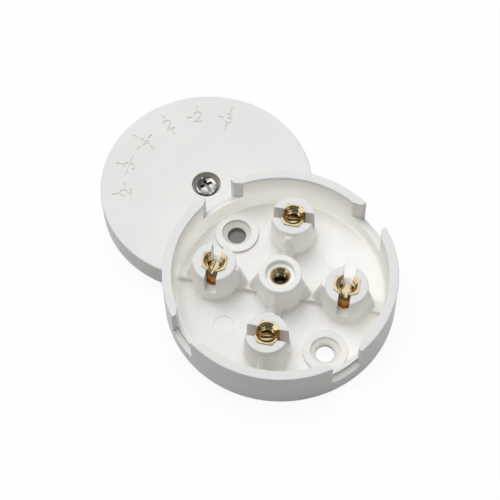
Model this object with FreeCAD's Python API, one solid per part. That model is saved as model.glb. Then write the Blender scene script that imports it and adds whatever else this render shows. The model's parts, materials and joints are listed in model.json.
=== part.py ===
import FreeCAD, Part
import math
import os

# Round four-terminal junction box with its lid off: the lid lies on the table on its
# screw tip and its near edge, and the base leans on the lid.
# Row frame: table at z 0, lid towards +Y, base towards -Y, origin under the middle of
# the set, millimetres.

V = FreeCAD.Vector
UP = V(0, 0, 1)

# base moulding, in its own frame: underside at z 0, terminal posts on the axes
base_r = 44.5
base_h = 20.0
wall_t = 3.7
wall_draft = 0.4
floor_t = 3.2
edge_round = 0.4
floor_round = 0.7

# cable notches through the wall, on the diagonals
notch_count = 4
notch_half_w = 6.4
notch_inset = 2.4
notch_flare = 3.2
sill_z = 10.0
riser_inset = 2.2
ledge_in_z = 8.3
ledge_out_z = 7.3

# posts: four for the terminals and one in the middle
post_wall_gap = 15.4
post_r = 8.2
post_below_rim = 1.4
post_draft = 0.7
post_edge_r = 0.5
post_foot_w = 0.75
post_foot_h = 0.45
centre_post_r = 8.1
centre_below_rim = 1.7

# wire slots across the terminal posts
slot_w = 4.5
slot_floor_z = 8.9

# ribs: a low straight one on each axis, and half-round buttresses that lean on the posts
rib_w = 4.9
rib_h = 2.3
rib_gap = 0.3
buttress_w_low = 4.4
centre_buttress = {"top_drop": 1.9, "top_w": 3.2, "out": 0.5, "nose": 0.5}
inner_buttress = {"top_drop": 1.6, "top_w": 4.0, "out": 1.6, "nose": 1.2}
outer_buttress = {"top_drop": 2.4, "top_w": 2.6, "out": 0.6, "nose": 0.6}
outer_buttress_reach = 11.4
meet_shift = 0.3

# fixing bosses, on the diagonal that runs past the lid side
fixing_wall_gap = 10.3
boss_r = 8.5
boss_raise = 1.2
fixing_sink_r = 5.8
fixing_lip = 1.1
fixing_cone = 1.6
fixing_hole_r = 3.6

# round ejector marks on the other diagonal, one raised and one sunk
mark_wall_gap = 14.9
raised_mark_r = 4.7
sunk_mark_r = 3.9
mark_depth = 0.25

# brass terminal pillars: two flats lie along the wire slot
pillar_flats = 9.4
pillar_foot_z = 4.6
pillar_proud = 0.5
pillar_bevel = 0.4
pillar_slot_w = 3.6
bore_r = 3.1
mouth_r = 4.15

# terminal screws
thread_clear = 0.06
screw_gap = 1.8
bore_run_out = 0.3
screw_sunk = 4.1
screw_rim = 0.45
screw_dome = 0.35
screw_slot_w = 0.95
screw_slot_d = 1.15
screw_turns = {"left": 79.0, "top": 12.0, "right": 96.0, "bottom": 12.0}

# brass insert for the lid screw, in the centre post
insert_r = 4.05
insert_len = 9.0
insert_mouth_r = 3.5
recess_r = 5.5
recess_d = 2.1
recess_chamfer = 0.35

# lid, in its own frame: skirt edge at z 0
lid_inset = 2.0
lid_h = 11.5
lid_top_t = 2.8
skirt_t = 2.2
lid_edge_r = 0.6
head_recess_r = 5.8
head_recess_d = 2.1
lid_boss_clear = 0.25
lid_boss_seat = 0.2
lid_hub_r = 8.2

# lid screw
lid_screw_r = 2.4
lid_screw_clear = 0.09
tip_chamfer = 0.8
head_r = 4.4
head_rim = 0.9
head_dome = 0.75
head_slot_w = 1.05
head_slot_d = 1.0
head_slot_angle = 86.0
cross_w = 1.3
cross_span = 5.0
cross_d = 1.7

# engraved entry marks: digit, dashes beside it, on a ring at one pitch
engrave_w = 0.6
engrave_d = 0.3
digit_edge_gap = 10.0
digit_h = 4.6
digit_w = 3.2
dash_len = 2.0
dash_off_up = 4.3
dash_off_side = 3.45
entry_pitch = 22.5
entry_first = 156.8
entry_marks = [("2", "ur"), ("3", "url"), ("4", "urld"), ("2", "ud"), ("2", "ul"), ("3", "uld")]

# how the two parts lie
base_turn = -41.8
base_lean = 10.94
lid_lean = 10.7
contact_clear = 0.12

# derived sizes
post_top_z = base_h - post_below_rim
centre_top_z = base_h - centre_below_rim
wall_in_r = base_r - wall_t
notch_straight_r = base_r - notch_inset
riser_r = base_r - riser_inset
post_pcd_r = wall_in_r - post_wall_gap
fixing_r = wall_in_r - fixing_wall_gap
mark_pcd_r = wall_in_r - mark_wall_gap
meet_r = 0.5 * (centre_post_r + post_pcd_r - post_r) - meet_shift
centre_reach = meet_r - 0.5 * rib_gap
inner_reach = post_pcd_r - meet_r - 0.5 * rib_gap
lid_r = base_r - lid_inset
digit_ring_r = lid_r - digit_edge_gap
boss_len = centre_below_rim + recess_d - lid_boss_seat
tip_r = lid_screw_r - tip_chamfer
base_tilt = math.radians(base_lean)
lid_tilt = math.radians(lid_lean)
screw_tip = math.tan(lid_tilt) * (lid_r - edge_round - tip_r)
screw_r = bore_r - thread_clear
pillar_top_z = post_top_z + pillar_proud
rib_z = floor_t + rib_h
screw_foot_z = slot_floor_z + screw_gap
screw_top_z = pillar_top_z - screw_sunk
insert_top_z = centre_top_z - recess_d
insert_bore_r = lid_screw_r + lid_screw_clear
boss_top_z = floor_t + boss_raise


def round_edge(r, z, e, turn):
    # quarter arc that rounds a corner at radius r and height z; turn names the corner
    s = e * math.sqrt(0.5)
    if turn == "out_up":
        return [V(r, 0, z - e), V(r - e + s, 0, z - e + s), V(r - e, 0, z)]
    if turn == "in_up":
        return [V(r + e, 0, z), V(r + e - s, 0, z - e + s), V(r, 0, z - e)]
    return [V(r - e, 0, z), V(r - e + s, 0, z + e - s), V(r, 0, z + e)]


def revolve(path):
    # path holds points and three-point arcs, in order, in the XZ plane
    edges = []
    first = None
    last = None
    for step in path:
        pts = step if isinstance(step, list) else [step]
        if first is None:
            first = pts[0]
        if last is not None and last.distanceToPoint(pts[0]) > 1e-6:
            edges.append(Part.makeLine(last, pts[0]))
        if len(pts) == 3:
            edges.append(Part.Arc(pts[0], pts[1], pts[2]).toShape())
        last = pts[-1]
    if last.distanceToPoint(first) > 1e-6:
        edges.append(Part.makeLine(last, first))
    face = Part.Face(Part.Wire(edges))
    return face.revolve(V(0, 0, 0), UP, 360)


def prism(points, z0, z1):
    wire = Part.makePolygon([V(x, y, z0) for x, y in points] + [V(points[0][0], points[0][1], z0)])
    return Part.Face(wire).extrude(V(0, 0, z1 - z0))


def turned(shape, angle, centre=V(0, 0, 0), axis=UP):
    out = shape.copy()
    out.rotate(centre, axis, angle)
    return out


def moved(shape, x, y, z=0.0):
    out = shape.copy()
    out.translate(V(x, y, z))
    return out


def polar(r, angle):
    a = math.radians(angle)
    return r * math.cos(a), r * math.sin(a)


def post(r, top_z):
    # drafted round post with a rounded top edge and a low step round its foot
    low_r = r + post_draft
    step_z = floor_t + post_foot_h
    step_r = low_r + post_foot_w
    return revolve([
        V(0, 0, floor_t - 1.0),
        V(step_r, 0, floor_t - 1.0),
        V(step_r, 0, floor_t),
        [V(step_r, 0, floor_t), V(low_r + 0.4 * post_foot_w, 0, floor_t + 0.38 * post_foot_h), V(low_r, 0, step_z)],
        round_edge(r, top_z, post_edge_r, "out_up"),
        V(0, 0, top_z),
    ])


def shell():
    # round tray: floor and wall in one profile, wall slightly drafted inside
    foot_r = wall_in_r - wall_draft
    corner = [
        V(foot_r, 0, floor_t + floor_round),
        V(foot_r - 0.293 * floor_round, 0, floor_t + 0.293 * floor_round),
        V(foot_r - floor_round, 0, floor_t),
    ]
    return revolve([
        V(0, 0, 0),
        round_edge(base_r, 0, edge_round, "out_down"),
        round_edge(base_r, base_h, edge_round, "out_up"),
        round_edge(wall_in_r, base_h, edge_round, "in_up"),
        corner,
        V(0, 0, floor_t),
    ])


def half_round(x, w, z):
    # outline of a rib that starts inside its post and ends in a half circle at x
    h = 0.5 * w
    end = Part.Arc(V(x - h, -h, z), V(x, 0, z), V(x - h, h, z)).toShape()
    back = 0.5 * post_r
    return Part.Wire([
        Part.makeLine(V(back, -h, z), V(x - h, -h, z)),
        end,
        Part.makeLine(V(x - h, h, z), V(back, h, z)),
        Part.makeLine(V(back, h, z), V(back, -h, z)),
    ])


def buttress(r, top_z, reach, form):
    # leans on a post of radius r: long and wide on the low rib, short and narrow near the top
    top = top_z - form["top_drop"]
    nose = form["nose"]
    x_top = r + form["out"]
    grow = (reach - x_top) / (top - nose - rib_z)
    widen = (buttress_w_low - form["top_w"]) / (top - nose - rib_z)
    sunk_by = 0.5 * rib_h
    bend = 1 - math.sqrt(0.5)
    outlines = [half_round(reach + grow * sunk_by, buttress_w_low + widen * sunk_by, rib_z - sunk_by)]
    for back, up in ((0, 0), (bend, 1 - bend), (1, 1)):
        outlines.append(half_round(
            x_top - back * nose, form["top_w"] - 2 * back * nose * 0.4, top - nose + up * nose))
    return Part.makeLoft(outlines, True, True)


def low_rib():
    return Part.makeBox(wall_in_r + 1.0, rib_w, rib_h + 1.0, V(0, -0.5 * rib_w, floor_t - 1.0))


def notch_cut():
    # parallel at the outer face, flaring inwards, down to the sill
    w = notch_half_w
    f = w + notch_flare
    flare_r = notch_straight_r - 2.5
    outline = [
        (base_r + 2, -w), (base_r + 2, w), (notch_straight_r, w),
        (flare_r, f), (flare_r - 2, f), (flare_r - 2, -f), (flare_r, -f), (notch_straight_r, -w),
    ]
    upper = prism(outline, sill_z, base_h + 2)
    # stepped outer ledge, sloping down outwards
    slope = [
        V(riser_r - 3, 0, ledge_in_z + 3 * (ledge_in_z - ledge_out_z) / (base_r - riser_r)),
        V(base_r + 1, 0, ledge_out_z - (ledge_in_z - ledge_out_z) / (base_r - riser_r)),
        V(base_r + 1, 0, sill_z + 1),
        V(riser_r - 3, 0, sill_z + 1),
    ]
    face = Part.Face(Part.makePolygon(slope + [slope[0]]))
    face.translate(V(0, -w, 0))
    ledge = face.extrude(V(0, 2 * w, 0))
    ledge = ledge.cut(Part.makeCylinder(riser_r, 2 * base_h))
    return upper.fuse(ledge)


def fixing_boss():
    return Part.makeCylinder(boss_r, boss_top_z - floor_t + 1.0, V(0, 0, floor_t - 1.0))


def fixing_cut():
    z_lip = boss_top_z - fixing_lip
    z_cone = z_lip - fixing_cone
    return revolve([
        V(0, 0, -1),
        V(fixing_hole_r, 0, -1),
        V(fixing_hole_r, 0, z_cone),
        V(fixing_sink_r - 0.15, 0, z_lip),
        V(fixing_sink_r, 0, boss_top_z + 1),
        V(0, 0, boss_top_z + 1),
    ])


def hexagon(flats):
    # hexagon with two flats facing +X and -X
    r = flats / math.sqrt(3.0)
    return [polar(r, 30 + 60 * k) for k in range(6)]


def terminal_slot(width, z):
    return Part.makeBox(4 * post_r, width, base_h, V(-2 * post_r, -0.5 * width, z))


def pillar():
    # hexagonal pillar with bevelled corners, a wire slot with a round floor and a bore down to it
    body = prism(hexagon(pillar_flats), pillar_foot_z, pillar_top_z)
    flat_r = 0.5 * pillar_flats
    bevel = revolve([
        V(0, 0, pillar_foot_z - 1),
        V(2 * flat_r, 0, pillar_foot_z - 1),
        V(2 * flat_r, 0, pillar_top_z - 0.5 * (flat_r - pillar_bevel)),
        V(flat_r + pillar_bevel, 0, pillar_top_z),
        V(0, 0, pillar_top_z),
    ])
    body = body.common(bevel)
    mouth_z = pillar_top_z - (mouth_r - bore_r)
    wire_r = 0.5 * pillar_slot_w
    bore = revolve([
        V(0, 0, screw_foot_z - bore_run_out),
        V(bore_r, 0, screw_foot_z - bore_run_out),
        V(bore_r, 0, mouth_z),
        V(mouth_r, 0, pillar_top_z),
        V(mouth_r, 0, pillar_top_z + 1),
        V(0, 0, pillar_top_z + 1),
    ])
    slot = turned(terminal_slot(pillar_slot_w, slot_floor_z + wire_r), 90)
    hole = Part.makeCylinder(wire_r, 4 * post_r, V(0, -2 * post_r, slot_floor_z + wire_r), V(0, 1, 0))
    return body.cut(bore).cut(slot.fuse(hole))


def grub_screw(angle):
    # slotted headless screw with a slight dome, in a smooth fit that stands for its thread
    rim_z = screw_top_z - screw_dome
    flat_r = screw_r - screw_rim
    mid_r = 0.6 * flat_r
    mid_z = screw_top_z - screw_dome * (mid_r / flat_r) ** 2
    body = revolve([
        V(0, 0, screw_foot_z),
        V(screw_r - 0.5, 0, screw_foot_z),
        V(screw_r, 0, screw_foot_z + 0.5),
        V(screw_r, 0, rim_z - screw_rim),
        [V(flat_r, 0, rim_z), V(mid_r, 0, mid_z), V(0, 0, screw_top_z)],
    ])
    slot = Part.makeBox(
        4 * screw_r, screw_slot_w, 4.0,
        V(-2 * screw_r, -0.5 * screw_slot_w, screw_top_z - screw_slot_d),
    )
    return body.cut(turned(slot, angle))


def insert():
    foot_z = insert_top_z - insert_len
    mouth_z = insert_top_z - (insert_mouth_r - insert_bore_r)
    return revolve([
        V(insert_bore_r, 0, foot_z),
        V(insert_r, 0, foot_z),
        V(insert_r, 0, insert_top_z),
        V(insert_mouth_r, 0, insert_top_z),
        V(insert_bore_r, 0, mouth_z),
    ])


def base_moulding():
    solid = shell().fuse(post(centre_post_r, centre_top_z))
    extras = []
    for k in range(4):
        terminal = [
            post(post_r, post_top_z),
            buttress(post_r, post_top_z, outer_buttress_reach, outer_buttress),
            turned(buttress(post_r, post_top_z, inner_reach, inner_buttress), 180),
        ]
        extras.append(turned(low_rib(), 90 * k))
        extras.append(turned(buttress(centre_post_r, centre_top_z, centre_reach, centre_buttress), 90 * k))
        for piece in terminal:
            extras.append(turned(moved(piece, post_pcd_r, 0), 90 * k))
    for angle in (135, 315):
        extras.append(moved(fixing_boss(), *polar(fixing_r, angle)))
    x, y = polar(mark_pcd_r, 45)
    extras.append(Part.makeCylinder(raised_mark_r, 1.0, V(x, y, floor_t + mark_depth - 1.0)))
    solid = solid.multiFuse(extras)
    cuts = []
    for k in range(notch_count):
        cuts.append(turned(notch_cut(), 45 + 90 * k))
    pocket = prism(hexagon(pillar_flats), pillar_foot_z, pillar_top_z + 1)
    wire_slot = turned(terminal_slot(slot_w, slot_floor_z), 90)
    for k in range(4):
        cuts.append(turned(moved(pocket, post_pcd_r, 0), 90 * k))
        cuts.append(turned(moved(wire_slot, post_pcd_r, 0), 90 * k))
    for angle in (135, 315):
        cuts.append(moved(fixing_cut(), *polar(fixing_r, angle)))
    x, y = polar(mark_pcd_r, 225)
    cuts.append(Part.makeCylinder(sunk_mark_r, 1.0, V(x, y, floor_t - mark_depth)))
    cuts.append(revolve([
        V(0, 0, insert_top_z - insert_len),
        V(insert_r, 0, insert_top_z - insert_len),
        V(insert_r, 0, insert_top_z),
        V(recess_r, 0, insert_top_z),
        V(recess_r, 0, centre_top_z - recess_chamfer),
        V(recess_r + recess_chamfer, 0, centre_top_z),
        V(recess_r + recess_chamfer, 0, centre_top_z + 1),
        V(0, 0, centre_top_z + 1),
    ]))
    for tool in cuts:
        solid = solid.cut(tool)
    return solid.removeSplitter()


def sunk(outline):
    solid = Part.Face(outline).extrude(V(0, 0, 2 * engrave_d))
    return moved(solid, 0, 0, -engrave_d)


def ribbon(edges):
    # engraving tool round a bent path of lines and arcs, with round ends
    return sunk(Part.Wire(edges).makeOffset2D(0.5 * engrave_w))


def stroke(x0, y0, x1, y1):
    # engraving tool for one straight stroke, with round ends
    r = 0.5 * engrave_w
    end = math.hypot(x1 - x0, y1 - y0)
    far = Part.Arc(V(end, -r, 0), V(end + r, 0, 0), V(end, r, 0)).toShape()
    near = Part.Arc(V(0, r, 0), V(-r, 0, 0), V(0, -r, 0)).toShape()
    outline = Part.Wire([line(0, -r, end, -r), far, line(end, r, 0, r), near])
    tool = turned(sunk(outline), math.degrees(math.atan2(y1 - y0, x1 - x0)))
    return moved(tool, x0, y0)


def line(x0, y0, x1, y1):
    return Part.makeLine(V(x0, y0, 0), V(x1, y1, 0))


def bow(cx, cy, r, start, end):
    pts = []
    for a in (start, 0.5 * (start + end), end):
        x, y = polar(r, a)
        pts.append(V(cx + x, cy + y, 0))
    return Part.Arc(pts[0], pts[1], pts[2]).toShape()


def digit(sign):
    w, h = 0.5 * digit_w, 0.5 * digit_h
    if sign == "2":
        r = 0.9 * w
        ex, ey = polar(r, -35)
        cy = h - r
        return [ribbon([bow(0, cy, r, 170, -35), line(ex, cy + ey, -w, -h), line(-w, -h, w, -h)])]
    if sign == "3":
        ru, rl = 0.46 * h, 0.54 * h
        return [ribbon([bow(0, h - ru, ru, 150, -95)]), ribbon([bow(0, rl - h, rl, 105, -150)])]
    foot = 0.35 * w
    bar = -0.35 * h
    return [
        ribbon([line(w, bar, -w, bar), line(-w, bar, foot, h)]),
        stroke(foot, h - 0.3 * engrave_w, foot, -h),
    ]


def entry_mark(sign, dashes):
    parts = digit(sign)
    half = 0.5 * dash_len
    if "u" in dashes:
        parts.append(stroke(0, dash_off_up - half, 0, dash_off_up + half))
    if "d" in dashes:
        parts.append(stroke(0, -dash_off_up - half, 0, -dash_off_up + half))
    if "r" in dashes:
        parts.append(stroke(dash_off_side - half, 0, dash_off_side + half, 0))
    if "l" in dashes:
        parts.append(stroke(-dash_off_side - half, 0, -dash_off_side + half, 0))
    return parts[0].multiFuse(parts[1:])


def lid_moulding():
    under = lid_h - lid_top_t
    recess_z = lid_h - head_recess_d
    hole_r = lid_screw_r + lid_screw_clear
    boss_r_out = recess_r - lid_boss_clear
    body = revolve([
        V(hole_r, 0, recess_z),
        V(hole_r, 0, -boss_len),
        V(boss_r_out, 0, -boss_len),
        V(boss_r_out, 0, 0.5),
        V(lid_hub_r, 0, 1.5),
        V(lid_hub_r, 0, under),
        V(lid_r - skirt_t, 0, under),
        V(lid_r - skirt_t, 0, 0),
        round_edge(lid_r, 0, edge_round, "out_down"),
        round_edge(lid_r, lid_h, lid_edge_r, "out_up"),
        V(head_recess_r, 0, lid_h),
        V(head_recess_r, 0, recess_z),
    ])
    for k, (sign, dashes) in enumerate(entry_marks):
        angle = entry_first - k * entry_pitch
        tool = turned(entry_mark(sign, dashes), angle - 90)
        x, y = polar(digit_ring_r, angle)
        body = body.cut(moved(tool, x, y, lid_h))
    return body


def lid_screw():
    seat_z = lid_h - head_recess_d + 0.1
    rim_z = seat_z + head_rim
    top_z = rim_z + head_dome
    body = revolve([
        V(0, 0, -screw_tip),
        V(tip_r, 0, -screw_tip),
        V(lid_screw_r, 0, -screw_tip + tip_chamfer),
        V(lid_screw_r, 0, seat_z),
        V(head_r, 0, seat_z),
        V(head_r, 0, rim_z - 0.15),
        [V(head_r, 0, rim_z - 0.15), V(0.8 * head_r, 0, rim_z + 0.45 * head_dome), V(0.45 * head_r, 0, top_z)],
        V(0, 0, top_z),
    ])
    slot = Part.makeBox(
        4 * head_r, head_slot_w, 4.0,
        V(-2 * head_r, -0.5 * head_slot_w, top_z - head_slot_d),
    )
    half = 0.5 * cross_span
    arm = Part.makeBox(cross_span, cross_w, 4.0, V(-half, -0.5 * cross_w, top_z - cross_d))
    for tool in (slot, arm, turned(arm, 90)):
        body = body.cut(turned(tool, head_slot_angle))
    return body


def gap_under_base():
    # how far the lid stands in from the base's lowest edge, so that the flat underside
    # rests on the rounded near edge of the lid top
    st, ct = math.sin(lid_tilt), math.cos(lid_tilt)
    y = lid_edge_r * ct - (lid_h - lid_edge_r) * st
    z = lid_edge_r * st + (lid_h - lid_edge_r) * ct
    lever = (z * math.cos(base_tilt) + lid_edge_r + contact_clear) / math.sin(base_tilt)
    return lever - y


def lean(shape, turn, tilt, r, y):
    # turned about its own axis, tilted towards -Y, its lowest rounded edge on the table
    out = turned(turned(shape, turn), math.degrees(tilt), V(0, 0, 0), V(1, 0, 0))
    st, ct = math.sin(tilt), math.cos(tilt)
    lift = (r - edge_round) * st + edge_round * (1 - ct)
    return moved(out, 0, y + r * ct, lift)


def middle_y():
    # half way between the base rim's nearest point and the lid skirt's farthest
    near = -edge_gap - (base_h - edge_round) * math.sin(base_tilt)
    near -= edge_round * (1 - math.cos(base_tilt))
    far = (2 * lid_r - edge_round) * math.cos(lid_tilt)
    far += edge_round * (1 - math.sin(lid_tilt))
    return 0.5 * (near + far)


def place_lid(shape):
    return lean(shape, 0, lid_tilt, lid_r, -shift_y)


def place_base(shape):
    return lean(shape, base_turn, base_tilt, base_r, -shift_y - edge_gap)


def save(name, shape):
    solids = shape.Solids
    if len(solids) != 1 or not shape.isValid():
        raise RuntimeError(name + " is not one valid solid")
    solids[0].exportStep("parts/" + name + ".step")


os.makedirs("parts", exist_ok=True)
edge_gap = gap_under_base()
shift_y = middle_y()
save("base_moulding", place_base(base_moulding()))
for k, side in enumerate(("right", "top", "left", "bottom")):
    x, y = polar(post_pcd_r, 90 * k)
    brass = moved(turned(pillar(), 90 * k), x, y)
    screw = moved(grub_screw(screw_turns[side]), x, y)
    save("terminal_pillar_" + side, place_base(brass))
    save("terminal_screw_" + side, place_base(screw))
save("lid_thread_insert", place_base(insert()))
save("lid_moulding", place_lid(lid_moulding()))
save("lid_screw", place_lid(lid_screw()))
print("edge gap", round(edge_gap, 3), "screw tip", round(screw_tip, 3), "shift", round(shift_y, 3))
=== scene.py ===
import bpy
import json
import math
import numpy as np
from mathutils import Matrix, Vector


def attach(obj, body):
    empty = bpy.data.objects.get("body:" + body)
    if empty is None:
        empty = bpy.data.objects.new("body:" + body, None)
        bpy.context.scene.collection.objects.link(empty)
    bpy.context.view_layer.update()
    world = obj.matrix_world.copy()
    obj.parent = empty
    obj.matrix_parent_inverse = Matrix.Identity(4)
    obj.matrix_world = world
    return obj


# Junction box with its lid off: the CAD solids are the shapes, and this adds the camera, the
# light, the moulded plastic, the turned brass, the plated screw and the threads in the bores.

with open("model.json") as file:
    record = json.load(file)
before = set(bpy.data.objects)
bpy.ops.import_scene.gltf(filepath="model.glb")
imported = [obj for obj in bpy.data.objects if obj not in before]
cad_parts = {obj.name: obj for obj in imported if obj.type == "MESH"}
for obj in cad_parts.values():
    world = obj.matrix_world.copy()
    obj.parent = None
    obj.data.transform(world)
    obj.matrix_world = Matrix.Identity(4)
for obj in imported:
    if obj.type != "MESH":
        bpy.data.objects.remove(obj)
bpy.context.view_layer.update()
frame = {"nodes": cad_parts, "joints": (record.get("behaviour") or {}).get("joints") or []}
joints = {j["name"]: j for j in frame["joints"]}
mm = 0.001


def axesFrom(origin, up, across):
    # local frame: up is the moulding's axis, across its x direction squared to it
    up = Vector(up).normalized()
    across = Vector(across)
    across = (across - up * across.dot(up)).normalized()
    return {"origin": Vector(origin), "x": across, "y": up.cross(across), "z": up}


def placeOf(side):
    return Vector(joints["terminal_screw_" + side + "_turn"]["pos_m"])


heights = {"terminalScrewTop": 15.0 * mm, "headSeat": 9.4 * mm}   # where the joints stand, local
screwAxis = Vector(joints["terminal_screw_left_turn"]["axis"])
fourPlaces = (placeOf("left") + placeOf("right") + placeOf("top") + placeOf("bottom")) / 4
baseMiddle = fourPlaces - screwAxis * heights["terminalScrewTop"]
baseFrame = axesFrom(baseMiddle, screwAxis, placeOf("right") - placeOf("left"))
lidJoint = joints["lid_screw_turn"]
lidAxis = Vector(lidJoint["axis"])
lidFrame = axesFrom(Vector(lidJoint["pos_m"]) - lidAxis * heights["headSeat"], lidAxis, (1, 0, 0))
postRing = (placeOf("right") - placeOf("left")).length / 2
print("frame read, base lean", round(math.degrees(math.acos(baseFrame["z"].z)), 2))


# camera: where the photograph was taken from
cameraView = {"azimuth": -21.683, "elevation": 51.603, "roll": -9.901, "distance": 0.630633,
              "target": (0.000771, -0.002073, 0.010), "focal": 1600.0, "frame": 500.0, "sensor": 36.0}


def makeCamera(v):
    a, e, r = (math.radians(v[k]) for k in ("azimuth", "elevation", "roll"))
    back = Vector((math.sin(a) * math.cos(e), -math.cos(a) * math.cos(e), math.sin(e)))
    right = Vector((math.cos(a), math.sin(a), 0))
    up = back.cross(right)
    right, up = right * math.cos(r) + up * math.sin(r), up * math.cos(r) - right * math.sin(r)
    lens = bpy.data.cameras.new("camera")
    lens.sensor_width = v["sensor"]
    lens.lens = v["focal"] / v["frame"] * v["sensor"]
    lens.clip_start, lens.clip_end = 0.01, 20
    seat = bpy.data.objects.new("camera", lens)
    seat.matrix_world = Matrix.Translation(Vector(v["target"]) + back * v["distance"]) @ Matrix(
        (right, up, back)).transposed().to_4x4()
    bpy.context.scene.collection.objects.link(seat)
    bpy.context.scene.camera = seat


makeCamera(cameraView)
bpy.context.scene.view_settings.view_transform = "Standard"
print("camera placed")


class Wire:
    # a socket in a node tree: sums and products of wires add the tree's Math nodes
    def __init__(self, tree, plug=None):
        self.tree = tree
        self.plug = plug

    def node(self, kind, settings=None, sockets=None, out=0):
        # any node: its type, its settings, then the values or wires of its sockets
        made = self.tree.nodes.new(kind)
        for key, value in (settings or {}).items():
            if key == "stops":
                ramp = made.color_ramp
                while len(ramp.elements) < len(value):
                    ramp.elements.new(0.5)
                for stop, (place, colour) in zip(ramp.elements, value):
                    stop.position = place
                    stop.color = colour
            else:
                setattr(made, key, value)
        for key, value in (sockets or {}).items():
            if isinstance(value, Wire):
                self.tree.links.new(value.plug, made.inputs[key])
            else:
                made.inputs[key].default_value = value
        return Wire(self.tree, made.outputs[out] if made.outputs else None)

    def calc(self, operation, *values):
        return self.node("ShaderNodeMath", {"operation": operation}, dict(enumerate(values)))

    def __add__(self, other):
        return self.calc("ADD", self, other)

    def __radd__(self, other):
        return self.calc("ADD", other, self)

    def __sub__(self, other):
        return self.calc("SUBTRACT", self, other)

    def __rsub__(self, other):
        return self.calc("SUBTRACT", other, self)

    def __mul__(self, other):
        return self.calc("MULTIPLY", self, other)

    def __rmul__(self, other):
        return self.calc("MULTIPLY", other, self)

    def __truediv__(self, other):
        return self.calc("DIVIDE", self, other)

    def __pow__(self, other):
        return self.calc("POWER", self, other)

    def __neg__(self):
        return self.calc("MULTIPLY", self, -1.0)

    def most(self, other):
        return self.calc("MAXIMUM", self, other)

    def least(self, other):
        return self.calc("MINIMUM", self, other)

    def size(self):
        return self.calc("ABSOLUTE", self)

    def ease(self, low, high):
        # 0 below low, 1 above high, a smooth rise between; high under low turns it round
        turned = low > high
        return self.node("ShaderNodeMapRange", {"interpolation_type": "SMOOTHSTEP"}, {
            "Value": self, "From Min": min(low, high), "From Max": max(low, high),
            "To Min": 1.0 if turned else 0.0, "To Max": 0.0 if turned else 1.0})

    def below(self, place, soft):
        # 1 up to the place, 0 from soft beyond it
        return self.ease(place + soft, place)

    def above(self, place, soft):
        # 0 up to the place, 1 from soft beyond it
        return self.ease(place, place + soft)

    def line(self, place, width):
        # 1 on the place, 0 from width away on both sides
        return (self - place).size().ease(width, 0.0)

    def blend(self, first, second):
        # colour mix, this wire as its factor
        return self.node("ShaderNodeMix", {"data_type": "RGBA"}, {0: self, 6: first, 7: second}, 2)

    def noise(self, where, scale, detail=2.0, roughness=0.5):
        return self.node("ShaderNodeTexNoise", None, {
            "Vector": where, "Scale": scale, "Detail": detail, "Roughness": roughness})


noLight = (0.0, 0.0, 0.0, 1.0)


def startMaterial(name):
    material = bpy.data.materials.new(name)
    material.use_nodes = True
    material.node_tree.nodes.clear()
    return material, Wire(material.node_tree)


def colour(r, g, b):
    # screen colour in 0 to 255 to the linear colour that sockets take
    parts = [c / 255 for c in (r, g, b)]
    return tuple(c / 12.92 if c <= 0.04045 else ((c + 0.055) / 1.055) ** 2.4 for c in parts) + (1.0,)


def localParts(wire, here, spot):
    # distances along a moulding's own axes, in millimetres, from the point in object space
    shifted = wire.node("ShaderNodeVectorMath", {"operation": "SUBTRACT"}, {0: here, 1: spot["origin"]})
    return [wire.node("ShaderNodeVectorMath", {"operation": "DOT_PRODUCT"},
                      {0: shifted, 1: tuple(spot[k] / mm)}, 1) for k in "xyz"]


def facingAlong(wire, spot):
    # 1 where the surface faces along a moulding's axis, 0 where it stands beside it
    normal = wire.node("ShaderNodeNewGeometry", None, None, "Normal")
    sockets = {0: normal, 1: tuple(spot["z"])}
    return wire.node("ShaderNodeVectorMath", {"operation": "DOT_PRODUCT"}, sockets, 1)


def closeMaterial(material, wire, surface):
    wire.node("ShaderNodeOutputMaterial", None, {"Surface": surface})
    return material


plastic = {"body": (238, 236, 230), "cool": (234, 233, 228), "tan": (168, 146, 110), "mostTan": 0.8,
           "speck": (92, 72, 50), "shade": (74, 69, 62), "paintedGlow": (255, 253, 245), "paintedGlowStrength": 0.25,
           "roughness": 0.38, "specular": 0.40, "bump": 0.06, "bumpDepth": 0.0001,
           "cloudScale": 55.0, "flowScale": (40.0, 200.0, 200.0), "grainScale": 2600.0,
           "swellScale": 70.0, "speckScale": 110.0}


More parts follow.
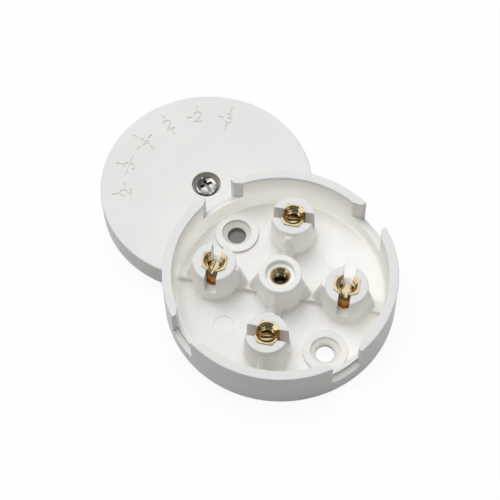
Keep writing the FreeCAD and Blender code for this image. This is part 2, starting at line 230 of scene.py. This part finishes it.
def plasticFinish(name, spot, marks):
    # satin urea moulding: faintly cloudy tone, flow lines, fine grain, a few brown specks, and
    # what the marks function gives: tan marks, painted shade as thin tan lines in corners and dark hollows,
    # painted light as a glow
    material, wire = startMaterial(name)
    here = wire.node("ShaderNodeTexCoord", None, None, "Object")
    x, y, z = localParts(wire, here, spot)
    tanAndPaintedShade, shade, paintedGlow = marks(wire, here, x, y, z)
    cloud = wire.noise(here, plastic["cloudScale"])
    stretched = wire.node("ShaderNodeMapping", None, {"Vector": here, "Scale": plastic["flowScale"]})
    grain = wire.noise(here, plastic["grainScale"], 2.0, 0.6)
    swell = wire.noise(here, plastic["swellScale"], 1.0)
    tone = (cloud * 0.85 + wire.noise(stretched, 1.0, 3.0) * 0.15).ease(0.25, 0.80)
    paint = tone.blend(colour(*plastic["cool"]), colour(*plastic["body"]))
    # tan for engraved marks, and painted shade in corners, hollows and the screw recess
    paint = tanAndPaintedShade.least(plastic["mostTan"]).blend(paint, colour(*plastic["tan"]))
    cells = {"Vector": here, "Scale": plastic["speckScale"]}
    pick = wire.node("ShaderNodeTexVoronoi", None, cells, "Color")
    rare = wire.node("ShaderNodeSeparateColor", None, {0: pick}).ease(0.965, 0.97)
    speck = wire.node("ShaderNodeTexVoronoi", None, cells).below(0.016, 0.014) * rare
    paint = (speck * 0.7).blend(paint, colour(*plastic["speck"]))
    # painted shade: dark in hollows, on the recess floor and under the base's fixing hole
    paint = shade.blend(paint, colour(*plastic["shade"]))
    rough = plastic["roughness"] + (grain - 0.5) * 0.05 + (cloud - 0.5) * 0.08 + speck * 0.3
    bump = wire.node("ShaderNodeBump", None, {
        "Strength": plastic["bump"], "Distance": plastic["bumpDepth"], "Height": grain * 0.30 + swell * 0.35})
    sockets = {"Base Color": paint, "Roughness": rough, "Specular IOR Level": plastic["specular"],
               "Normal": bump}
    # painted light: a glow as emission, where the marks function gives one
    if paintedGlow:
        sockets["Emission Color"] = paintedGlow.blend(noLight, colour(*plastic["paintedGlow"]))
        sockets["Emission Strength"] = plastic["paintedGlowStrength"]
    return closeMaterial(material, wire, wire.node("ShaderNodeBsdfPrincipled", None, sockets))


# the lid's own places in millimetres: heights from its foot, distances from its middle
lidForm = {"face": 11.4, "grooveTop": 11.34, "grooveFoot": 11.0, "marksInside": 20.0, "marksOutside": 41.7,
           "recess": 5.8, "recessFloor": 9.6, "recessCorner": 5.2,
           "holeX": -1.7, "holeY": -27.7, "holeReach": 3.4, "holeSoft": 1.2}


def lidTanAndPaintedShade(wire, here, x, y, z):
    # engraved marks faintly tan; painted shade: the screw recess brownish with a dark floor, and
    # painted shadow: the patch that shows through the base's upper fixing hole dark
    f = lidForm
    ring = (x * x + y * y) ** 0.5
    groove = z.below(f["grooveTop"], 0.1) * z.above(f["grooveFoot"], 0.1)
    groove = groove * ring.above(f["marksInside"], 1.0) * ring.below(f["marksOutside"], 0.3)
    # painted shade: the screw recess brownish, its floor dark
    recess = ring.below(f["recess"], 0.1) * z.below(f["face"] - 1.4, 1.4)
    recessFloor = ring.below(f["recessCorner"], 0.5) * z.below(f["recessFloor"], 0.4)
    # painted shadow: the lid dark where it shows through the base's upper fixing hole
    aside, along = x - f["holeX"], y - f["holeY"]
    paintedHoleShadow = ((aside * aside + along * along) ** 0.5).below(f["holeReach"], f["holeSoft"])
    shade = paintedHoleShadow * z.above(f["grooveFoot"], 0.2) * 0.80 + recessFloor * 0.55
    return groove * 0.15 + recess * 0.55, shade, None


# the base's own places in millimetres: heights from its back, distances from a middle or an axis
baseForm = {"floor": 3.2, "postFoot": 9.65, "postFootTop": 3.9, "postTopReach": 7.6, "postSide": 7.9,
            "postFootReach": 9.6, "sideFrom": 4.2, "bossOut": 30.5, "boss": 8.5, "bossTop": 4.6,
            "hole": 3.7, "holeDeep": 1.1, "sink": 5.7, "sinkDeep": 3.5, "markOut": 25.9,
            "raisedMark": 4.7, "sunkMark": 3.9, "markTop": 3.8, "pocket": 3.5, "pocketFoot": 5.0,
            "wallFoot": 40.0, "wallFootTop": 4.2, "wallFrom": 39.0, "wallInside": 40.8,
            "insideFrom": 2.0, "underRim": 18.2}


def distances(x, y):
    # from the nearest terminal post's axis and from the middle
    a, b = x.size(), y.size()
    outer = ((a.most(b) - postRing / mm) ** 2.0 + a.least(b) ** 2.0) ** 0.5
    return outer, (x * x + y * y) ** 0.5


def basePaintedShadeAndLight(wire, here, x, y, z):
    f = baseForm
    postAway, ring = distances(x, y)
    column = postAway.least(ring)
    near, far = (x + y) * math.sqrt(0.5), (x - y) * math.sqrt(0.5)   # along and across the ejector marks
    bossAway = (near * near + (far.size() - f["bossOut"]) ** 2.0) ** 0.5
    markAway = ((near.size() - f["markOut"]) ** 2.0 + far * far) ** 0.5
    markReach = near.ease(-1.0, 1.0) * (f["raisedMark"] - f["sunkMark"]) + f["sunkMark"]
    # painted shade: thin tan lines, broken up: post feet, bosses, the wall's foot, the ejector marks; faint
    # tan at the floor's height
    paintedEdgeShade = z.line(f["floor"], 0.12) * 0.05
    paintedEdgeShade = paintedEdgeShade + column.line(f["postFoot"], 0.22) * z.below(f["postFootTop"], 0.2) * 0.30
    paintedEdgeShade = paintedEdgeShade + bossAway.line(f["boss"], 0.20) * z.below(f["bossTop"], 0.2) * 0.42
    paintedEdgeShade = paintedEdgeShade + ring.line(f["wallFoot"], 0.5) * z.below(f["wallFootTop"], 0.6) * 0.25
    paintedEdgeShade = paintedEdgeShade + (markAway - markReach).line(0.0, 0.16) * z.below(f["markTop"], 0.1) * 0.25
    broken = wire.noise(here, 420.0, 3.0, 0.6).ease(0.34, 0.62) * 0.65 + 0.35
    # painted shade: tan in the countersinks
    sink = bossAway.below(f["sink"], 0.2) * z.below(f["sinkDeep"], 0.8)
    # painted shade: the wall of the upper fixing hole and the pocket under the insert darkened
    shade = bossAway.below(f["hole"], 0.2) * z.below(f["holeDeep"], 1.0) * far.below(-1.0, 2.0) * 0.6
    shade = shade + ring.below(f["pocket"], 0.2) * z.above(f["pocketFoot"], 1.0) * 0.9
    # painted light: a glow on the walls at the left and back, floor at the right, posts' sides, centre top
    wall = x.ease(-8.0, -36.0) * 0.6 + y.ease(0.0, 36.0) * (x.ease(40.0, 0.0) * 0.5 + 0.4)
    wall = wall * ring.above(f["wallFrom"], 0.8) * (z.ease(18.0, 7.0) * 0.5 + 0.5)
    sides = column.above(f["postSide"], 0.3) * column.below(f["postFootReach"], 0.4)
    sides = sides * z.above(f["sideFrom"], 1.0) * (y.ease(-34.0, 10.0) * 0.42 - 0.06)
    floor = z.below(f["floor"] + 0.3, 1.0) * ring.ease(14.0, 28.0) * x.ease(-10.0, 20.0)
    paintedLight = floor * 0.4 + sides + ring.below(f["postTopReach"], 1.0) * 0.22 + wall + 0.03
    inside = ring.below(f["wallInside"], 0.2) * z.above(f["insideFrom"], 0.5) * z.below(f["underRim"], 1.3)
    return paintedEdgeShade * broken + sink * 0.22, shade, inside * paintedLight


brass = {"bright": (240, 224, 182), "deep": (208, 184, 134), "stain": (214, 158, 88), "dark": (52, 36, 18),
         "dull": (168, 152, 112), "roughness": 0.13, "paintedGlowStrength": 0.16, "bump": 0.22, "bumpDepth": 0.00008,
         "rings": 30.0, "ridgePitch": 0.72, "patchScale": 380.0, "fineScale": 3000.0}
# places on the brass in millimetres: heights from the base's back, distances from a piece's axis
brassForm = {"stainTop": 10.6, "insert": 6.0, "slotLight": 12.6, "slotReach": 3.6, "flats": 4.5,
             "screwLip": 2.52, "screwEdge": 2.94, "screwRim": 14.2, "screwSlotFloor": 13.6,
             "screwFlat": 2.5, "ridgesFrom": 14.8, "ridgesTo": 18.8, "mouth": 4.2, "footLine": 11.5,
             "insertBore": 2.25, "insertMouth": 15.2, "insertDeep": 10.0, "insertFoot": 7.8}


def screwPaintedShade(z, outer, facing, grooves):
    # painted shade: dark lines round a terminal screw's top, in its slot and between its flights
    f = brassForm
    lip = (outer - f["screwLip"]).size().below(0.06, 0.2) * z.above(f["screwRim"], 0.2)
    lip = lip + outer.above(f["screwEdge"], 0.08)
    flight = grooves * z.below(f["screwRim"] - 0.1, 0.2) * facing.size().below(0.2, 0.3)
    inSlot = facing.below(0.2, 0.5) * z.above(f["screwSlotFloor"], 0.2) * outer.below(f["screwFlat"], 0.2)
    return lip * 0.75 + flight * 0.3 + inSlot * 0.9


def borePaintedShade(z, outer, centre, grooves):
    # painted shade: dark lines between the ridges of a bore, across the wire slot, and low in the insert
    f = brassForm
    ridges = grooves * outer.below(f["mouth"], 0.2)
    ridges = ridges * z.above(f["ridgesFrom"], 0.2) * z.below(f["ridgesTo"], 0.2)
    cut = grooves * centre.above(f["insertBore"], 0.2) * z.below(f["insertMouth"], 0.2)
    deep = centre.below(2.9, 0.2) * z.below(f["insertDeep"], 3.5)
    foot = (z - f["footLine"]).size().below(0.15, 0.35)
    cove = centre.below(2.3, 0.2) * z.below(f["insertFoot"], 0.4)
    return ridges * 0.7 + cut * 0.6 + deep + foot * 0.8 + cove


def brassFinish(name, isScrew):
    # turned brass: rings round each piece's axis, painted shade between ridges and on the outer flats,
    # orange low in the wire slot, clean at the top, painted light as a glow in the slot; the insert is duller
    f = brassForm
    material, wire = startMaterial(name)
    here = wire.node("ShaderNodeTexCoord", None, None, "Object")
    x, y, z = localParts(wire, here, baseFrame)
    outer, centre = distances(x, y)
    facing = facingAlong(wire, baseFrame)
    wobble = wire.noise(here, 700.0) * 2.0
    rings = wire.calc("SINE", outer.least(centre) * brass["rings"] + wobble) * 0.5 + 0.5
    patch = wire.noise(here, brass["patchScale"])
    fine = wire.noise(here, brass["fineScale"])
    ridgeTurn = z * (2 * math.pi / brass["ridgePitch"]) + wire.noise(here, 300.0)
    grooves = wire.calc("SINE", ridgeTurn).ease(0.15, 0.8)
    stain = (z.below(f["stainTop"], 1.2) * 0.75 + (patch - 0.5) * 0.25).ease(0.10, 0.95)
    # painted light: brass seen through the wire slot glows and is half metallic
    low = z.below(f["slotLight"], 1.6) * outer.below(f["slotReach"], 0.2)   # what shows through the wire slot
    # painted shade: dark on the sides of the outer flats
    paintedFlankShade = outer.above(f["flats"], 0.25) * facing.below(0.35, 0.4)
    paintedShade = screwPaintedShade(z, outer, facing, grooves) if isScrew else borePaintedShade(z, outer, centre, grooves)
    paint = patch.ease(0.42, 0.74).blend(colour(*brass["bright"]), colour(*brass["deep"]))
    paint = (centre.below(f["insert"], 0.5) * 0.6).blend(paint, colour(*brass["dull"]))
    paint = stain.blend(paint, colour(*brass["stain"]))
    # painted shade blended in dark
    paint = (paintedShade * 0.85 + paintedFlankShade * 0.7).least(0.92).blend(paint, colour(*brass["dark"]))
    rough = brass["roughness"] + rings * 0.05 + (patch - 0.5) * 0.08 + stain * 0.15
    bump = wire.node("ShaderNodeBump", None, {
        "Strength": brass["bump"], "Distance": brass["bumpDepth"],
        "Height": rings * 0.16 + fine * 0.10 + patch * 0.5})
    surface = wire.node("ShaderNodeBsdfPrincipled", None, {
        "Emission Color": low.blend(noLight, paint), "Emission Strength": brass["paintedGlowStrength"],
        "Base Color": paint, "Metallic": 1.0 - low * 0.5, "Roughness": rough, "Normal": bump})
    return closeMaterial(material, wire, surface)


nickel = {"bright": (255, 254, 250), "dull": (206, 201, 192), "pitsAndPaintedShade": (30, 26, 22), "roughness": 0.08,
          "bump": 0.5, "bumpDepth": 0.0003, "swirl": 38.0, "threadPitch": 0.8,
          "patchScale": 800.0, "dentScale": 330.0, "pitScale": 1600.0,
          "headFrom": 8.9, "crossDeep": 10.25, "crossReach": 3.6, "rim": 4.0, "shankTop": 8.2}


def nickelFinish(name):
    # nickel plate: near mirror with faint swirl, dents and pits, painted shade in the cross, round the rim
    # and on the head's sides, and a painted dark reflection on one side of the head's top
    material, wire = startMaterial(name)
    here = wire.node("ShaderNodeTexCoord", None, None, "Object")
    x, y, z = localParts(wire, here, lidFrame)
    ring = (x * x + y * y) ** 0.5
    facing = facingAlong(wire, lidFrame)
    swirl = wire.calc("SINE", ring * nickel["swirl"] + wire.noise(here, 700.0) * 4.0) * 0.5 + 0.5
    patch = wire.noise(here, nickel["patchScale"], 3.0, 0.6)
    dents = wire.noise(here, nickel["dentScale"], 1.0)
    cells = wire.node("ShaderNodeTexVoronoi", None, {"Vector": here, "Scale": nickel["pitScale"]})
    pits = cells.below(0.06, 0.1)
    head = z.above(nickel["headFrom"], 0.2)
    deep = z.below(nickel["crossDeep"], 0.5) * head * ring.below(nickel["crossReach"], 0.3)
    rim = ring.above(nickel["rim"], 0.3) * head
    # painted dark reflection on one side of the head's top
    paintedDarkReflection = (y * 0.8 - x * 0.5 + (patch - 0.5) * 3.0).ease(0.4, 1.3) * ring.below(nickel["crossReach"], 0.4)
    paintedDarkReflection = paintedDarkReflection * head * facing.above(0.5, 0.3)
    # painted shade in the cross, on the head's sides and round the rim, with the real pits
    dark = deep * 0.5 + facing.below(0.1, 0.4) * head * 0.6 + rim * 0.7 + pits * 0.2 + paintedDarkReflection * 0.85
    paint = patch.ease(0.45, 0.8).blend(colour(*nickel["bright"]), colour(*nickel["dull"]))
    paint = dark.least(0.93).blend(paint, colour(*nickel["pitsAndPaintedShade"]))
    rough = nickel["roughness"] + swirl * 0.03 + (patch - 0.5) * 0.08 + deep * 0.1
    flights = wire.calc("SINE", z * (2 * math.pi / nickel["threadPitch"])) * z.below(nickel["shankTop"], 0.3)
    bump = wire.node("ShaderNodeBump", None, {
        "Strength": nickel["bump"], "Distance": nickel["bumpDepth"],
        "Height": swirl * 0.06 - pits * 0.1 + patch * 0.15 + dents * 1.4 + flights})
    surface = wire.node("ShaderNodeBsdfPrincipled", None, {
        "Base Color": paint, "Metallic": 1.0, "Roughness": rough, "Normal": bump})
    return closeMaterial(material, wire, surface)


def dress(node, material):
    for place in frame["nodes"][node].material_slots:
        place.link = "OBJECT"
        place.material = material


baseFinish = plasticFinish("whiteMouldingBase", baseFrame, basePaintedShadeAndLight)
lidFinish = plasticFinish("whiteMouldingLid", lidFrame, lidTanAndPaintedShade)
pillarFinish = brassFinish("turnedBrass", False)
screwFinish = brassFinish("screwBrass", True)
plateFinish = nickelFinish("nickelPlate")
dress("base_moulding", baseFinish)
dress("lid_moulding", lidFinish)
dress("lid_thread_insert", pillarFinish)
dress("lid_screw", plateFinish)
for side in ("left", "top", "right", "bottom"):
    dress("terminal_pillar_" + side, pillarFinish)
    dress("terminal_screw_" + side, screwFinish)
print("materials made")


def gridMesh(name, points, material, ring):
    # rows by columns of points, quads between neighbours; columns wrap, rows wrap in a ring
    # and otherwise end in a cap at both ends
    rows, columns = points.shape[:2]
    index = np.arange(rows * columns).reshape(rows, columns)
    nextRow, nextColumn = np.roll(index, -1, 0), np.roll(index, -1, 1)
    quads = np.stack([index, nextColumn, np.roll(nextRow, -1, 1), nextRow], -1)
    faces = quads.reshape(-1, 4).tolist() if ring else quads[:-1].reshape(-1, 4).tolist() + [
        index[0][::-1].tolist(), index[-1].tolist()]
    mesh = bpy.data.meshes.new(name)
    mesh.from_pydata(points.reshape(-1, 3).tolist(), [], faces)
    mesh.polygons.foreach_set("use_smooth", np.ones(len(faces), bool))
    mesh.materials.append(material)
    mesh.update()
    piece = bpy.data.objects.new(name, mesh)
    bpy.context.scene.collection.objects.link(piece)
    return piece


def boreThread(name, centre, facing, t):
    # inside thread: radius = wall - depth * tent(z / pitch - angle / turn), along the arc
    # the section closes behind it along the bore's wall, so the arc or ring is a solid
    ring = t["span"] >= 360
    half = math.radians(t["span"]) / 2
    angle = np.linspace(facing - half, facing + half, t["around"], endpoint=not ring)[:, None]
    front = np.linspace(0, 1, t["along"])[None, :]
    height = t["low"] + (t["high"] - t["low"]) * front + 0 * angle
    phase = (height / t["pitch"] - angle / (2 * np.pi)) % 1.0
    tent = 1 - np.abs(2 * phase - 1)
    fade = np.clip(np.minimum(front, 1 - front) * t["fade"], 0, 1)
    radius = t["wall"] - t["depth"] * np.clip(tent * 1.7 - 0.35, 0, 1) * fade - t["skin"]
    frontSide = np.stack([radius * np.cos(angle), radius * np.sin(angle), height], -1)
    behind = height[:, ::-1][:, [0, -1]]
    backRadius = np.full_like(behind, t["wall"] - 0.3 * t["skin"])
    backSide = np.stack([backRadius * np.cos(angle), backRadius * np.sin(angle), behind], -1)
    local = np.concatenate([frontSide, backSide], 1)
    local[..., :2] += centre
    turn = np.array([baseFrame["x"], baseFrame["y"], baseFrame["z"]])
    cut = gridMesh(name, local * mm @ turn + np.array(baseFrame["origin"]), pillarFinish, ring)
    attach(cut, "box")


pillarThread = {"around": 60, "along": 81, "low": 15.08, "high": 18.0, "pitch": 0.92, "depth": 0.40,
                "wall": 3.1, "skin": 0.02, "fade": 9.0, "span": 100}
insertThread = {"around": 96, "along": 121, "low": 7.6, "high": 15.2, "pitch": 0.8, "depth": 0.34,
                "wall": 2.49, "skin": 0.02, "fade": 16.0, "span": 360}
for side, quarter in (("right", 0), ("top", 1), ("left", 2), ("bottom", 3)):
    facing = quarter * math.pi / 2
    centre = np.array([math.cos(facing), math.sin(facing)]) * postRing / mm
    boreThread("pillar_thread_" + side + "_outer", centre, facing, pillarThread)
    boreThread("pillar_thread_" + side + "_inner", centre, facing + math.pi, pillarThread)
boreThread("insert_thread", np.zeros(2), 0.0, insertThread)
print("threads cut")


# floor: pale, white to the camera and in reflections, its shadow kept
stage = {"size": 6.0, "pale": 0.42, "mottle": 0.02, "mottleScale": 30.0, "white": 0.82, "strength": 1.13,
         "drop": 0.00005}


def makeFloor(s):
    h = s["size"] / 2
    mesh = bpy.data.meshes.new("floor")
    corners = [(side * h, end * h, -s["drop"]) for side, end in ((-1, -1), (1, -1), (1, 1), (-1, 1))]
    mesh.from_pydata(corners, [], [(0, 1, 2, 3)])
    material, wire = startMaterial("paleFloor")
    seen = wire.node("ShaderNodeLightPath", None, None, "Is Camera Ray").most(
        wire.node("ShaderNodeLightPath", None, None, "Is Glossy Ray")).most(
        wire.node("ShaderNodeLightPath", None, None, "Is Transmission Ray"))
    here = wire.node("ShaderNodeTexCoord", None, None, "Object")
    tone = (wire.noise(here, s["mottleScale"]) - 0.5) * s["mottle"] + s["pale"]
    grey = wire.node("ShaderNodeCombineColor", None, {0: tone, 1: tone, 2: tone})
    matte = wire.node("ShaderNodeBsdfDiffuse", None, {"Color": grey})
    lit = wire.node("ShaderNodeEmission", None, {"Color": (1, 1, 1, 1), "Strength": s["strength"]})
    surface = wire.node("ShaderNodeMixShader", None, {0: seen * s["white"], 1: matte, 2: lit})
    mesh.materials.append(closeMaterial(material, wire, surface))
    floor = bpy.data.objects.new("floor", mesh)
    bpy.context.scene.collection.objects.link(floor)


lamps = {"keyLamp": {"place": (0.04, 0.20, 1.25), "size": (0.9, 0.8), "power": 9.6},
         "frontLamp": {"place": (-0.25, -0.45, 1.25), "size": (0.8, 0.8), "power": 1.2}}
lampAim = Vector((0, 0, 0.01))
lampTint = (0.965, 0.99, 1.05)


def makeLamp(name, v):
    lamp = bpy.data.lights.new(name, "AREA")
    lamp.shape = "RECTANGLE"
    lamp.size, lamp.size_y = v["size"]
    lamp.energy = v["power"]
    lamp.color = lampTint
    seat = bpy.data.objects.new(name, lamp)
    seat.location = v["place"]
    seat.visible_glossy = False
    seat.rotation_euler = (lampAim - Vector(v["place"])).to_track_quat("-Z", "Y").to_euler()
    bpy.context.scene.collection.objects.link(seat)


# soft boxes as metal sees them: direction, where one fades in by its cosine, where it is full, power
softBoxes = [((0.23, 0.24, 0.94), 0.90, 0.96, 0.42), ((-0.82, 0.30, 0.49), 0.86, 0.93, 1.1),
             ((0.30, -0.75, 0.59), 0.90, 0.96, 0.8), ((0.75, 0.45, 0.48), 0.93, 0.97, 0.9)]


studio = {"up": (0.15, 0.55, 0.82), "soft": 0.36, "seen": 1.0}


def makeWorld(v):
    world = bpy.data.worlds.new("studio")
    world.use_nodes = True
    world.node_tree.nodes.clear()
    bpy.context.scene.world = world
    wire = Wire(world.node_tree)
    seen = wire.node("ShaderNodeLightPath", None, None, "Is Camera Ray").most(
        wire.node("ShaderNodeLightPath", None, None, "Is Transmission Ray"))
    shiny = wire.node("ShaderNodeLightPath", None, None, "Is Glossy Ray")
    way = wire.node("ShaderNodeTexCoord", None, None, "Generated")
    tilt = wire.node("ShaderNodeVectorMath", {"operation": "DOT_PRODUCT"}, {0: way, 1: v["up"]}, 1)
    room = tilt.ease(0.1, 0.9) * 0.34 + 0.16   # studio as metal sees it: dim, with soft boxes
    for facing, near, far, power in softBoxes:
        toBox = wire.node("ShaderNodeVectorMath", {"operation": "DOT_PRODUCT"}, {0: way, 1: facing}, 1)
        room = room + toBox.ease(near, far) * power
    soft = (tilt.ease(-0.3, 0.8) * 0.75 + 0.45) * v["soft"]   # and as pale surfaces get it
    strength = seen * v["seen"] + (1 - seen) * (shiny * room + (1 - shiny) * soft)
    light = wire.node("ShaderNodeBackground", None, {"Color": (1, 1, 1, 1), "Strength": strength})
    wire.node("ShaderNodeOutputWorld", None, {"Surface": light})


makeFloor(stage)
makeWorld(studio)
for name, lamp in lamps.items():
    makeLamp(name, lamp)
print("stage lit")
